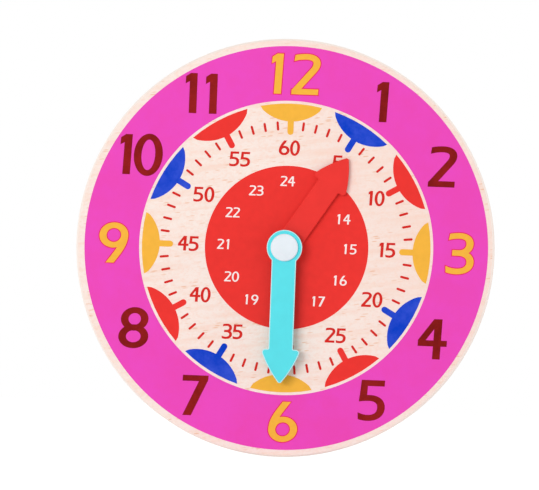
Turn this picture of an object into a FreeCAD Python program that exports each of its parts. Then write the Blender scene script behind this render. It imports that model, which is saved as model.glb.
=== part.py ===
import FreeCAD, Part
import math
import os
from types import SimpleNamespace

import Sketcher

# A geared teaching clock, in millimetres. A round wooden board carries two hands on one axis. Behind the
# dial, in a pocket closed by a flush cover, a train of toothed wheels turns the hour hand once for every
# twelve turns of the minute hand.
#
# Each piece is drawn in the dial's own frame: x towards 3 o'clock, y towards 12 o'clock and z out of the
# dial, with z = 0 at the board's back and the hands' axis at x = y = 0. stand_up() then turns it, so that
# the finished clock stands with 12 o'clock at +Z, its dial facing -Y and its back in the plane Y = 0.

SIZES = {
    # the board and the pocket in its back
    "board_diameter": 204,
    "board_thickness": 12,
    "board_edge_bevel": 0.8,
    "pocket_clearance": 2.2,
    "rebate_lip": 6,
    "cover_clearance": 0.2,
    "cover_thickness": 1.6,
    "cover_edge_chamfer": 0.3,
    "cover_rim_height": 1,
    "cover_rim_wall": 1.2,
    # the gear train
    "centre_distance": 24,
    "gear_width": 2,
    "pressure_angle": 20,
    "profile_shift": 0.3,
    "tooth_backlash": 0.07,
    "wheel_rim": 2,
    "wheel_hub_wall": 3,
    "web_recess": 0.5,
    "web_margin": 1.3,
    "pinion_overlap_back": 0.2,
    "pinion_overlap_front": 0.1,
    "hub_lip": 0.3,
    "wheel_gap": 0.4,
    # fits
    "running_clearance": 0.05,
    "slip_clearance": 0.03,
    "end_float": 0.15,
    # the fixed pieces of the train
    "cover_gap": 0.3,
    "clip_thickness": 0.5,
    "clip_radius": 3.2,
    "clip_mouth": 2.5,
    "stud_radius": 2,
    "stud_groove_radius": 1.5,
    "stud_flange_radius": 3.4,
    "stud_flange_thickness": 0.3,
    "stud_rivet_radius": 1.5,
    "stud_end_gap": 0.15,
    "thrust_thickness": 0.4,
    "thrust_radius": 7,
    "plate_thickness": 1,
    "plate_clearance": 0.3,
    "spring_sheet": 0.3,
    "spring_radius": 4.8,
    "spring_bore_radius": 2.4,
    "spring_clearance": 0.06,
    # shafts and bush
    "arbor_radius": 2.5,
    "tail_radius": 1.75,
    "tail_depth": 1,
    "tail_end_gap": 0.15,
    "square_across": 3.5,
    "pipe_radius": 4,
    "pipe_reach": 0.3,
    "bush_radius": 5.5,
    "flange_radius": 7.8,
    "flange_thickness": 0.5,
    # the hands and what is between them
    "hub_radius": 8.6,
    "shaft_width": 11.8,
    "head_width": 19.5,
    "head_length": 17,
    "head_side_radius": 53,
    "barb_radius": 1.6,
    "tip_radius": 1.1,
    "inner_corner_radius": 0.6,
    "hand_edge_bevel": 0.4,
    "hour_reach": 53.8,
    "hour_hand_thickness": 1.6,
    "minute_reach": 66.6,
    "minute_hand_thickness": 2.5,
    "collet_radius": 5,
    "collet_flange_radius": 6.5,
    "collet_flange_thickness": 0.4,
    "collet_rivet_height": 0.2,
    "spacer_radius": 4.6,
    "spacer_thickness": 1.5,
    # the cap
    "cap_radius": 6.65,
    "cap_rim_height": 1.5,
    "cap_height": 2.7,
    "cap_edge_bevel": 0.4,
    "cap_bore_depth": 1.5,
    "square_end_gap": 0.2,
    # screws
    "cover_screw_head_radius": 2.2,
    "cover_screw_head_height": 1.3,
    "cover_screw_radius": 1.1,
    "cover_screw_length": 8,
    "plate_screw_head_radius": 1.8,
    "plate_screw_head_height": 0.8,
    "plate_screw_radius": 0.9,
    "plate_screw_length": 3.4,
    "plate_screw_ring": 15,
    "recess_width": 0.6,
    "recess_depth": 0.6,
}

PINION_TEETH = 12
MINUTE_WHEEL_TEETH = 36
HOUR_WHEEL_TEETH = 48
WEB_HOLES = 6
ADDENDUM = 1.0
DEDENDUM = 1.25

# The hands' rest pose, in degrees clockwise from 12 o'clock.
HOUR_HAND_TURN = 33.2
MINUTE_HAND_TURN = 180

DIAGONAL = math.sqrt(0.5)
X_AXIS = FreeCAD.Vector(1, 0, 0)
Y_AXIS = FreeCAD.Vector(0, 1, 0)
Z_AXIS = FreeCAD.Vector(0, 0, 1)


class Size:
    """A length that knows both its number and the formula over the sheet's cells that gives it."""

    def __init__(self, number, formula):
        self.number = number
        self.formula = formula

    def __float__(self):
        return float(self.number)

    def joined(self, sign, other, number):
        right = other.formula if isinstance(other, Size) else repr(other)
        return Size(number, f"({self.formula} {sign} {right})")

    def __add__(self, other):
        return self.joined("+", other, self.number + float(other))

    def __sub__(self, other):
        return self.joined("-", other, self.number - float(other))

    def __mul__(self, other):
        return self.joined("*", other, self.number * float(other))

    def __truediv__(self, other):
        return self.joined("/", other, self.number / float(other))

    def __neg__(self):
        return self * -1


ZERO = Size(0, "0")


def make_sheet(doc):
    """The spreadsheet of driving dimensions, and a name for each of its cells."""
    sheet = doc.addObject("Spreadsheet::Sheet", "sizes")
    for row, (alias, number) in enumerate(SIZES.items(), 1):
        sheet.set(f"A{row}", alias.replace("_", " "))
        sheet.set(f"B{row}", str(number))
        sheet.setAlias(f"B{row}", alias)
    doc.recompute()
    return SimpleNamespace(**{alias: Size(sheet.get(alias), f"sizes.{alias}") for alias in SIZES})


doc = FreeCAD.newDocument("teaching_clock")
size = make_sheet(doc)

# Heights above the board's back, each worked out from the one behind it.
clip_back = size.cover_thickness + size.cover_gap
minute_hub_back = clip_back + size.clip_thickness + size.end_float
minute_wheel_back = minute_hub_back + size.hub_lip
minute_wheel_front = minute_wheel_back + size.gear_width
hour_wheel_back = minute_wheel_front + size.wheel_gap
hour_wheel_front = hour_wheel_back + size.gear_width
thrust_back = hour_wheel_front + size.end_float
plate_back = thrust_back + size.thrust_thickness
pocket_floor = plate_back + size.plate_thickness
centre_pinion_back = minute_wheel_back - size.pinion_overlap_back
centre_pinion_front = minute_wheel_front + size.pinion_overlap_front
minute_pinion_front = plate_back - size.stud_flange_thickness - size.end_float
tail_end = size.cover_thickness - size.tail_depth + size.tail_end_gap
dial_face = size.board_thickness
bush_front = dial_face + size.flange_thickness
collet_back = bush_front + size.end_float
hour_hand_back = collet_back + size.collet_flange_thickness
hour_hand_front = hour_hand_back + size.hour_hand_thickness
collet_front = hour_hand_front + size.collet_rivet_height
pipe_front = collet_front + size.pipe_reach
spacer_back = pipe_front + size.end_float
minute_hand_back = spacer_back + size.spacer_thickness
minute_hand_front = minute_hand_back + size.minute_hand_thickness
square_front = minute_hand_front + size.cap_bore_depth - size.square_end_gap

# Modules of the two gear pairs, which share one centre distance, and radii that follow from them.
fast_module = size.centre_distance * 2 / (PINION_TEETH + MINUTE_WHEEL_TEETH)
slow_module = size.centre_distance * 2 / (PINION_TEETH + HOUR_WHEEL_TEETH)


def tip_radius(teeth, module, shift):
    return module * (shift + teeth / 2 + ADDENDUM)


def root_radius(teeth, module, shift):
    return module * (shift + (teeth / 2 - DEDENDUM))


hour_wheel_tip = tip_radius(HOUR_WHEEL_TEETH, slow_module, -size.profile_shift)
pocket_radius = hour_wheel_tip + size.pocket_clearance
rebate_radius = pocket_radius + size.rebate_lip
cover_screw_ring = pocket_radius + size.rebate_lip / 2
stud_drop = -size.centre_distance


def stand_up(piece, height=ZERO, drop=ZERO, turn=0):
    """Stand a finished piece upright at its height above the board's back, turned clockwise by turn."""
    upright = FreeCAD.Rotation(X_AXIS, 90) * FreeCAD.Rotation(Z_AXIS, -turn)
    piece.Placement = FreeCAD.Placement(FreeCAD.Vector(), upright)
    piece.setExpression("Placement.Base.y", (-height).formula)
    piece.setExpression("Placement.Base.z", drop.formula)
    return piece


# ---- sketches and bodies -------------------------------------------------------------------------


def new_body(name):
    body = doc.addObject("PartDesign::Body", name)
    body.Label = name
    return body


def sketch_on(body, name, plane="XY_Plane"):
    sketch = body.newObject("Sketcher::SketchObject", name)
    support = next(item for item in body.Origin.OriginFeatures if item.Role == plane)
    sketch.AttachmentSupport = [(support, "")]
    sketch.MapMode = "FlatFace"
    return sketch


def dimension(sketch, kind, where, length):
    """Add a dimension to the sketch and bind it to a size."""
    index = sketch.addConstraint(Sketcher.Constraint(kind, *where, float(length)))
    sketch.setExpression(f"Constraints[{index}]", length.formula)


def place_point(sketch, line, end, across, up):
    """Hold one end of a line, or a circle's centre, at two distances from the sketch's origin."""
    for kind, axis, length in (("DistanceX", -2, across), ("DistanceY", -1, up)):
        if float(length) == 0:
            sketch.addConstraint(Sketcher.Constraint("PointOnObject", line, end, axis))
        else:
            dimension(sketch, kind, (-1, 1, line, end), length)


def add_circle(sketch, radius, across=ZERO, up=ZERO):
    centre = FreeCAD.Vector(float(across), float(up), 0)
    index = sketch.addGeometry(Part.Circle(centre, Z_AXIS, float(radius)), False)
    place_point(sketch, index, 3, across, up)
    dimension(sketch, "Radius", (index,), radius)


def add_outline(sketch, corners, domed=()):
    """A closed outline through the corners. A run listed in domed is an arc centred on the vertical axis."""
    points = [FreeCAD.Vector(float(across), float(up), 0) for across, up in corners]
    for run, start in enumerate(points):
        end = points[(run + 1) % len(points)]
        if run in domed:
            rise = end.y - start.y
            radius = (start.x**2 + rise**2) / (2 * rise)
            circle = Part.Circle(FreeCAD.Vector(0, end.y - radius, 0), Z_AXIS, radius)
            first = math.atan2(radius - rise, start.x)
            sketch.addGeometry(Part.ArcOfCircle(circle, first, math.pi / 2), False)
            sketch.addConstraint(Sketcher.Constraint("PointOnObject", run, 3, -2))
        else:
            sketch.addGeometry(Part.LineSegment(start, end), False)
    for run, (across, up) in enumerate(corners):
        following = (run + 1) % len(corners)
        sketch.addConstraint(Sketcher.Constraint("Coincident", run, 2, following, 1))
        place_point(sketch, run, 1, across, up)


def add_stadium(sketch, radius):
    """Two half circles joined by tangent lines: one round the hands' axis, one round the stud."""
    first = sketch.GeometryCount
    reach = float(radius)
    low = FreeCAD.Vector(0, float(stud_drop), 0)
    right = FreeCAD.Vector(reach, 0, 0)
    sketch.addGeometry(Part.ArcOfCircle(Part.Circle(FreeCAD.Vector(), Z_AXIS, reach), 0, math.pi), False)
    sketch.addGeometry(Part.LineSegment(-right, low - right), False)
    sketch.addGeometry(Part.ArcOfCircle(Part.Circle(low, Z_AXIS, reach), math.pi, 2 * math.pi), False)
    sketch.addGeometry(Part.LineSegment(low + right, right), False)
    for run in range(4):
        sketch.addConstraint(Sketcher.Constraint("Tangent", first + run, 2, first + (run + 1) % 4, 1))
    sketch.addConstraint(Sketcher.Constraint("Equal", first, first + 2))
    place_point(sketch, first, 3, ZERO, ZERO)
    place_point(sketch, first + 2, 3, ZERO, stud_drop)
    dimension(sketch, "Radius", (first,), radius)


def pad(body, sketch, length):
    feature = body.newObject("PartDesign::Pad", f"{sketch.Name}_pad")
    feature.Profile = sketch
    feature.setExpression("Length", length.formula)
    doc.recompute()
    return feature


def pocket(body, sketch, depth):
    """Cut upwards from the sketch's plane, and stop if nothing was cut."""
    before = body.Shape.Volume
    feature = body.newObject("PartDesign::Pocket", f"{sketch.Name}_pocket")
    feature.Profile = sketch
    feature.Reversed = True
    feature.setExpression("Length", depth.formula)
    doc.recompute()
    if body.Shape.Volume >= before:
        raise RuntimeError(f"{feature.Name} cuts nothing")
    return feature


def dress_edges(body, feature, wanted, kind, dimension_name, length):
    names = [f"Edge{n}" for n, edge in enumerate(feature.Shape.Edges, 1) if wanted(edge)]
    dressed = body.newObject(f"PartDesign::{kind}", f"{feature.Name}_{kind.lower()}")
    dressed.Base = (feature, names)
    dressed.setExpression(dimension_name, length.formula)
    doc.recompute()
    return dressed


def round_edges(body, feature, wanted, radius):
    """Round the edges of the feature for which wanted(edge) is true."""
    return dress_edges(body, feature, wanted, "Fillet", "Radius", radius)


def bevel_edges(body, feature, wanted, width):
    """Bevel the edges of the feature for which wanted(edge) is true."""
    return dress_edges(body, feature, wanted, "Chamfer", "Size", width)


def is_ring(radius, height):
    """A test for the circular edge of this radius at this height."""

    def wanted(edge):
        if edge.Degenerated or not isinstance(edge.Curve, Part.Circle):
            return False
        off = abs(edge.Curve.Radius - float(radius)) + abs(edge.BoundBox.ZMin - float(height))
        return off < 1e-4

    return wanted


def lies_at(height):
    """A test for edges that lie flat at this height."""
    return lambda edge: max(abs(edge.BoundBox.ZMin - height), abs(edge.BoundBox.ZMax - height)) < 1e-4


def stands_at(points):
    """A test for upright edges at any of these points."""

    def wanted(edge):
        box = edge.BoundBox
        upright = box.XLength < 1e-4 and box.YLength < 1e-4
        return upright and any(math.hypot(box.XMin - x, box.YMin - y) < 1e-3 for x, y in points)

    return wanted


def turned(name, corners, domed=()):
    """A piece turned about its axis. Each corner of its half section is (radius, height)."""
    body = new_body(name)
    sketch = sketch_on(body, f"{name}_section", "XZ_Plane")
    add_outline(sketch, corners, domed)
    feature = body.newObject("PartDesign::Revolution", f"{name}_turned")
    feature.Profile = sketch
    feature.ReferenceAxis = (sketch, ["V_Axis"])
    feature.Angle = 360
    doc.recompute()
    return body


def ring(name, bore, radius, thickness):
    return turned(name, [(bore, ZERO), (radius, ZERO), (radius, thickness), (bore, thickness)])


# ---- Part primitives -----------------------------------------------------------------------------


def move_to(item, across, up, height):
    for axis, length in zip("xyz", (across, up, height)):
        item.setExpression(f"Placement.Base.{axis}", length.formula)


def cylinder(name, radius, height, across=ZERO, up=ZERO, base=ZERO):
    item = doc.addObject("Part::Cylinder", name)
    item.setExpression("Radius", radius.formula)
    item.setExpression("Height", height.formula)
    move_to(item, across, up, base)
    return item


def cone(name, back_radius, front_radius, height, across=ZERO, up=ZERO, base=ZERO):
    item = doc.addObject("Part::Cone", name)
    item.setExpression("Radius1", back_radius.formula)
    item.setExpression("Radius2", front_radius.formula)
    item.setExpression("Height", height.formula)
    move_to(item, across, up, base)
    return item


def block(name, width, length, height, across=ZERO, up=ZERO, base=ZERO):
    """A box centred on a point, standing on its base."""
    item = doc.addObject("Part::Box", name)
    item.setExpression("Length", width.formula)
    item.setExpression("Width", length.formula)
    item.setExpression("Height", height.formula)
    move_to(item, across - width / 2, up - length / 2, base)
    return item


def fused(name, items):
    result = doc.addObject("Part::MultiFuse", name)
    result.Shapes = items
    result.Label = name
    return result


def cut(name, base, tools):
    result = doc.addObject("Part::Cut", name)
    result.Base = base
    result.Tool = tools[0] if len(tools) == 1 else fused(f"{name}_tools", tools)
    result.Label = name
    return result


def screw_places(ring_radius):
    """Four places round the two ends of the stadium, on its diagonals."""
    aside = ring_radius * DIAGONAL
    return [
        ("upper_right", aside, aside),
        ("upper_left", -aside, aside),
        ("lower_left", -aside, stud_drop - aside),
        ("lower_right", aside, stud_drop - aside),
    ]


def countersunk(name, screw, across, up, base=ZERO, length=None):
    """A countersunk head and its shank: the screw's own form, and the form of the hole that it sits in."""
    head = cone(f"{name}_head", screw.head_radius, screw.radius, screw.head_height, across, up, base)
    shank_length = (length or screw.length) - screw.head_height
    shank = cylinder(f"{name}_shank", screw.radius, shank_length, across, up, base + screw.head_height)
    return fused(name, [head, shank])


def screw_group(name, screw):
    """Four screws with cross recesses, as one group of separate solids."""
    screws = []
    for place, across, up in screw_places(screw.ring):
        one = f"{name}_{place}"
        long_bar = block(f"{one}_bar", screw.head_radius * 1.3, size.recess_width, size.recess_depth, across, up)
        tall_bar = block(f"{one}_post", size.recess_width, screw.head_radius * 1.3, size.recess_depth, across, up)
        screws.append(cut(one, countersunk(f"{one}_blank", screw, across, up), [long_bar, tall_bar]))
    group = doc.addObject("Part::Compound", name)
    group.Links = screws
    group.Label = name
    return group


cover_screw = SimpleNamespace(
    head_radius=size.cover_screw_head_radius,
    head_height=size.cover_screw_head_height,
    radius=size.cover_screw_radius,
    length=size.cover_screw_length,
    ring=cover_screw_ring,
)
plate_screw = SimpleNamespace(
    head_radius=size.plate_screw_head_radius,
    head_height=size.plate_screw_head_height,
    radius=size.plate_screw_radius,
    length=size.plate_screw_length,
    ring=size.plate_screw_ring,
)


# ---- gears ---------------------------------------------------------------------------------------


def polar(radius, angle):
    return FreeCAD.Vector(radius * math.cos(angle), radius * math.sin(angle), 0)


def gear_outline(name, teeth, module, shift, first_tooth):
    """The closed outline of an involute gear, with the middle of one tooth at the angle first_tooth.

    Each flank is the arc through three points of its involute, from the base circle, or the root where
    that is larger, out to the tip. Below it the flank runs straight down to the root circle. The tip and
    the root are flats.
    """
    pressure = math.radians(float(size.pressure_angle))
    pitch_radius = float(module) * teeth / 2
    base = pitch_radius * math.cos(pressure)
    root = float(root_radius(teeth, module, shift))
    tip = float(tip_radius(teeth, module, shift))
    thickness = float(module) * (math.pi / 2 + 2 * float(shift) * math.tan(pressure))
    thickness -= float(size.tooth_backlash)

    def half_angle(radius):
        """Half of the tooth's thickness at this radius, as an angle."""
        roll = math.acos(base / radius)
        opening = math.tan(pressure) - pressure - (math.tan(roll) - roll)
        return thickness / (2 * pitch_radius) + opening

    foot = max(base, root)
    flank = [(radius, half_angle(radius)) for radius in (foot, (foot + tip) / 2, tip)]
    pitch = 2 * math.pi / teeth
    edges = []
    for tooth in range(teeth):
        middle = first_tooth + tooth * pitch
        rising = [polar(radius, middle - half) for radius, half in flank]
        falling = [polar(radius, middle + half) for radius, half in reversed(flank)]
        root_start = polar(root, middle - flank[0][1])
        root_end = polar(root, middle + flank[0][1])
        next_start = polar(root, middle + pitch - flank[0][1])
        edges += [
            Part.LineSegment(root_start, rising[0]).toShape(),
            Part.Arc(*rising).toShape(),
            Part.LineSegment(rising[2], falling[0]).toShape(),
            Part.Arc(*falling).toShape(),
            Part.LineSegment(falling[2], root_end).toShape(),
            Part.LineSegment(root_end, next_start).toShape(),
        ]
    outline = doc.addObject("Part::Feature", f"{name}_outline")
    outline.Shape = Part.Wire(edges)
    return outline


def toothed(name, teeth, module, shift, first_tooth, width):
    """A solid toothed disc."""
    disc = doc.addObject("Part::Extrusion", f"{name}_teeth")
    disc.Base = gear_outline(name, teeth, module, shift, first_tooth)
    disc.DirMode = "Custom"
    disc.Dir = Z_AXIS
    disc.Solid = True
    disc.setExpression("LengthFwd", width.formula)
    return disc


def wheel(name, teeth, module, first_tooth, bore):
    """A moulded wheel: a toothed rim and a hub, joined by a thinner web with a ring of round holes."""
    shift = -size.profile_shift
    web_radius = root_radius(teeth, module, shift) - size.wheel_rim
    hub_radius = bore + size.wheel_hub_wall
    hole_ring = (web_radius + hub_radius) / 2
    hole_radius = (web_radius - hub_radius) / 2 - size.web_margin
    tools = [cylinder(f"{name}_bore", bore, size.gear_width)]
    for side, base in (("back", -size.web_recess), ("front", size.gear_width - size.web_recess)):
        disc = cylinder(f"{name}_{side}_disc", web_radius, size.web_recess * 2, base=base)
        hub = cylinder(f"{name}_{side}_hub", hub_radius, size.web_recess * 2, base=base)
        tools.append(cut(f"{name}_{side}_recess", disc, [hub]))
    for hole in range(WEB_HOLES):
        angle = 2 * math.pi * hole / WEB_HOLES
        across = hole_ring * math.cos(angle)
        up = hole_ring * math.sin(angle)
        tools.append(cylinder(f"{name}_hole_{hole}", hole_radius, size.gear_width, across, up))
    return cut(name, toothed(name, teeth, module, shift, first_tooth, size.gear_width), tools)


def pinion_teeth(name, module, first_tooth, width):
    return toothed(name, PINION_TEETH, module, size.profile_shift, first_tooth, width)


minute_hub_radius = root_radius(PINION_TEETH, slow_module, size.profile_shift) - size.running_clearance

# Angles at which the gears' teeth and gaps meet on the line from the hands' axis down to the stud.
TOWARDS_STUD = -math.pi / 2
TOWARDS_CENTRE = math.pi / 2


# ---- the board and what is fixed to it -----------------------------------------------------------


def make_board():
    body = new_body("clock_board")
    disc = sketch_on(body, "board_disc")
    add_circle(disc, size.board_diameter / 2)
    disc_pad = pad(body, disc, size.board_thickness)
    bevel_edges(body, disc_pad, lambda edge: isinstance(edge.Curve, Part.Circle), size.board_edge_bevel)
    for name, radius, depth in (
        ("cover_rebate", rebate_radius, size.cover_thickness),
        ("gear_pocket", pocket_radius, pocket_floor),
    ):
        sketch = sketch_on(body, name)
        add_stadium(sketch, radius)
        pocket(body, sketch, depth)
    for name, screw, depth in (
        ("cover_screw_pilots", cover_screw, size.cover_screw_length),
        ("plate_screw_pilots", plate_screw, plate_back + size.plate_screw_length),
    ):
        sketch = sketch_on(body, name)
        for _, across, up in screw_places(screw.ring):
            add_circle(sketch, screw.radius, across, up)
        pocket(body, sketch, depth)
    bore = sketch_on(body, "bush_hole")
    add_circle(bore, size.bush_radius)
    pocket(body, bore, size.board_thickness)
    return stand_up(body)


def make_plate():
    body = new_body("gear_plate_blank")
    outline = sketch_on(body, "plate_outline")
    add_stadium(outline, pocket_radius - size.plate_clearance)
    pad(body, outline, size.plate_thickness)
    tools = [
        cylinder("plate_bush_hole", size.bush_radius, size.plate_thickness),
        cylinder("plate_stud_hole", size.stud_rivet_radius, size.plate_thickness, up=stud_drop),
    ]
    for place, across, up in screw_places(plate_screw.ring):
        tools.append(countersunk(f"plate_hole_{place}", plate_screw, across, up))
    return stand_up(cut("gear_plate", body, tools), plate_back)


def make_cover():
    """The flush cover, with a low rim that locates it in the pocket and a blind bore for the arbor's tail."""
    body = new_body("gear_cover_blank")
    outline = sketch_on(body, "cover_outline")
    add_stadium(outline, rebate_radius - size.cover_clearance)
    plate = pad(body, outline, size.cover_thickness)
    bevel_edges(body, plate, lies_at(0), size.cover_edge_chamfer)
    rim = sketch_on(body, "cover_rim")
    add_stadium(rim, pocket_radius - size.cover_clearance)
    add_stadium(rim, pocket_radius - size.cover_clearance - size.cover_rim_wall)
    pad(body, rim, size.cover_thickness + size.cover_rim_height)
    tail_radius = size.tail_radius + size.running_clearance
    tail_floor = size.cover_thickness - size.tail_depth
    tools = [cylinder("cover_tail_bore", tail_radius, size.tail_depth, base=tail_floor)]
    for place, across, up in screw_places(cover_screw.ring):
        tools.append(countersunk(f"cover_hole_{place}", cover_screw, across, up))
    return stand_up(cut("gear_cover", body, tools))


def make_bush():
    bore = size.pipe_radius + size.running_clearance
    front = bush_front - plate_back
    shoulder = dial_face - plate_back
    body = turned(
        "centre_bush",
        [
            (bore, ZERO),
            (size.bush_radius, ZERO),
            (size.bush_radius, shoulder),
            (size.flange_radius, shoulder),
            (size.flange_radius, front),
            (bore, front),
        ],
    )
    return stand_up(body, plate_back)


def make_stud():
    """The stud, from its free end behind the clip to its riveted end in the gear plate."""
    stud_end = size.cover_thickness + size.stud_end_gap
    groove_back = clip_back - stud_end
    groove_front = groove_back + size.clip_thickness
    flange_back = plate_back - size.stud_flange_thickness - stud_end
    plate_level = plate_back - stud_end
    rivet_front = pocket_floor - stud_end
    body = turned(
        "idler_stud",
        [
            (ZERO, ZERO),
            (size.stud_radius, ZERO),
            (size.stud_radius, groove_back),
            (size.stud_groove_radius, groove_back),
            (size.stud_groove_radius, groove_front),
            (size.stud_radius, groove_front),
            (size.stud_radius, flange_back),
            (size.stud_flange_radius, flange_back),
            (size.stud_flange_radius, plate_level),
            (size.stud_rivet_radius, plate_level),
            (size.stud_rivet_radius, rivet_front),
            (ZERO, rivet_front),
        ],
    )
    return stand_up(body, stud_end, stud_drop)


def make_clip():
    disc = cylinder("clip_disc", size.clip_radius, size.clip_thickness)
    eye = cylinder("clip_eye", size.stud_groove_radius, size.clip_thickness)
    mouth = block("clip_mouth_cut", size.clip_mouth, size.clip_radius, size.clip_thickness, up=-size.clip_radius / 2)
    return stand_up(cut("stud_clip", disc, [eye, mouth]), clip_back, stud_drop)


def make_spring():
    """A curved spring washer: a flat ring bent round an axis along x, resting on its two low sides."""
    rise = centre_pinion_back - size.cover_thickness - size.spring_clearance - size.spring_sheet
    bend = (size.spring_radius * size.spring_radius + rise * rise) / (rise * 2)
    height = size.spring_radius * 2
    sheet = []
    for name, radius in (("spring_outside", bend + size.spring_sheet), ("spring_inside", bend)):
        drum = cylinder(name, radius, size.spring_radius * 4, -size.spring_radius * 2, ZERO, rise - bend)
        drum.Placement = FreeCAD.Placement(FreeCAD.Vector(), FreeCAD.Rotation(Y_AXIS, 90))
        sheet.append(drum)
    ring_blank = cut(
        "spring_ring",
        cylinder("spring_disc", size.spring_radius, height, base=-size.spring_radius),
        [cylinder("spring_bore", size.spring_bore_radius, height, base=-size.spring_radius)],
    )
    washer = doc.addObject("Part::Common", "friction_spring")
    washer.Base = ring_blank
    washer.Tool = cut("spring_sheet_bent", sheet[0], [sheet[1]])
    washer.Label = "friction_spring"
    return stand_up(washer, size.cover_thickness)


# ---- the moving pieces ---------------------------------------------------------------------------


def make_arbor():
    """The minute arbor: tail in the cover, round through the pinion, pipe and spacer, then squared."""
    back = tail_end
    tail = cylinder("arbor_tail", size.tail_radius, centre_pinion_back - back)
    shank = cylinder(
        "arbor_shank", size.arbor_radius, minute_hand_back - centre_pinion_back, base=centre_pinion_back - back
    )
    square = block(
        "arbor_square",
        size.square_across,
        size.square_across,
        square_front - minute_hand_back,
        base=minute_hand_back - back,
    )
    return stand_up(fused("minute_arbor", [tail, shank, square]), back)


def hand_sketch(body, name, reach):
    """A hand's outline: round hub, straight shaft, and an arrow head with bowed sides."""
    half_shaft = float(size.shaft_width) / 2
    half_head = float(size.head_width) / 2
    hub = float(size.hub_radius)
    tip = FreeCAD.Vector(0, float(reach), 0)
    shoulder = float(reach) - float(size.head_length)
    junction = FreeCAD.Vector(half_shaft, math.sqrt(hub**2 - half_shaft**2), 0)
    neck = FreeCAD.Vector(half_shaft, shoulder, 0)
    barb = FreeCAD.Vector(half_head, shoulder, 0)

    def mirrored(point):
        return FreeCAD.Vector(-point.x, point.y, 0)

    side_radius = float(size.head_side_radius)
    chord = tip - barb
    inwards = FreeCAD.Vector(-chord.y, chord.x, 0).normalize()
    centre = (tip + barb) / 2 + inwards * math.sqrt(side_radius**2 - chord.Length**2 / 4)

    def bearing(point, middle):
        return math.atan2(point.y - middle.y, point.x - middle.x)

    hub_bearing = bearing(junction, FreeCAD.Vector())
    right_side = Part.Circle(centre, Z_AXIS, side_radius)
    left_side = Part.Circle(mirrored(centre), Z_AXIS, side_radius)
    hub_circle = Part.Circle(FreeCAD.Vector(), Z_AXIS, hub)
    sketch = sketch_on(body, name)
    sketch.addGeometry(
        [
            Part.ArcOfCircle(hub_circle, math.pi - hub_bearing, 2 * math.pi + hub_bearing),
            Part.LineSegment(junction, neck),
            Part.LineSegment(neck, barb),
            Part.ArcOfCircle(right_side, bearing(barb, centre), bearing(tip, centre)),
            Part.ArcOfCircle(
                left_side, bearing(tip, mirrored(centre)), bearing(mirrored(barb), mirrored(centre))
            ),
            Part.LineSegment(mirrored(barb), mirrored(neck)),
            Part.LineSegment(mirrored(neck), mirrored(junction)),
        ],
        False,
    )
    hub_arc, right_shaft, right_barb, right_bow, left_bow, left_barb, left_shaft = range(7)
    for run in range(7):
        sketch.addConstraint(Sketcher.Constraint("Coincident", run, 2, (run + 1) % 7, 1))
    for kind, *where in (
        ("Coincident", hub_arc, 3, -1, 1),
        ("Vertical", right_shaft),
        ("Vertical", left_shaft),
        ("Horizontal", right_barb),
        ("Symmetric", right_shaft, 2, left_shaft, 1, -2),
        ("Symmetric", right_barb, 2, left_barb, 1, -2),
        ("PointOnObject", right_bow, 2, -2),
        ("Equal", right_bow, left_bow),
    ):
        sketch.addConstraint(Sketcher.Constraint(kind, *where))
    dimension(sketch, "Radius", (hub_arc,), size.hub_radius)
    dimension(sketch, "Radius", (right_bow,), size.head_side_radius)
    dimension(sketch, "DistanceX", (left_shaft, 1, right_shaft, 2), size.shaft_width)
    dimension(sketch, "DistanceX", (left_barb, 1, right_barb, 2), size.head_width)
    dimension(sketch, "DistanceY", (-1, 1, right_bow, 2), reach)
    dimension(sketch, "DistanceY", (right_shaft, 2, right_bow, 2), size.head_length)
    corners = SimpleNamespace(
        barbs=[(half_head, shoulder), (-half_head, shoulder)],
        tip=[(0, float(reach))],
        inner=[(s * half_shaft, up) for s in (1, -1) for up in (shoulder, junction.y)],
    )
    return sketch, corners


def make_hand(name, reach, thickness, add_hole):
    """A moulded hand with rounded corners and a bevelled front edge. add_hole draws its hole."""
    body = new_body(name)
    outline, corners = hand_sketch(body, f"{name}_outline", reach)
    feature = pad(body, outline, thickness)
    for points, radius in (
        (corners.barbs, size.barb_radius),
        (corners.tip, size.tip_radius),
        (corners.inner, size.inner_corner_radius),
    ):
        feature = round_edges(body, feature, stands_at(points), radius)
    bevel_edges(body, feature, lies_at(float(thickness)), size.hand_edge_bevel)
    hole = sketch_on(body, f"{name}_hole")
    add_hole(hole)
    pocket(body, hole, thickness)
    return body


def square_hole(sketch):
    half = size.square_across / 2
    add_outline(sketch, [(-half, -half), (half, -half), (half, half), (-half, half)])


def collet_hole(sketch):
    add_circle(sketch, size.collet_radius)


def make_collet():
    bore = size.pipe_radius + size.slip_clearance
    front = collet_front - collet_back
    body = turned(
        "hour_collet",
        [
            (bore, ZERO),
            (size.collet_flange_radius, ZERO),
            (size.collet_flange_radius, size.collet_flange_thickness),
            (size.collet_radius, size.collet_flange_thickness),
            (size.collet_radius, front),
            (bore, front),
        ],
    )
    return stand_up(body, collet_back)


def make_cap():
    body = turned(
        "hub_cap",
        [
            (size.arbor_radius, ZERO),
            (size.cap_radius, ZERO),
            (size.cap_radius, size.cap_rim_height),
            (ZERO, size.cap_height),
            (ZERO, size.cap_bore_depth),
            (size.arbor_radius, size.cap_bore_depth),
        ],
        domed=(2,),
    )
    bevel_edges(body, body.Tip, is_ring(size.cap_radius, size.cap_rim_height), size.cap_edge_bevel)
    return stand_up(body, minute_hand_front)


def make_centre_pinion():
    width = centre_pinion_front - centre_pinion_back
    teeth = pinion_teeth("centre_pinion", fast_module, TOWARDS_STUD, width)
    bore = cylinder("centre_pinion_bore", size.arbor_radius, width)
    return cut("centre_pinion", teeth, [bore])


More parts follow.
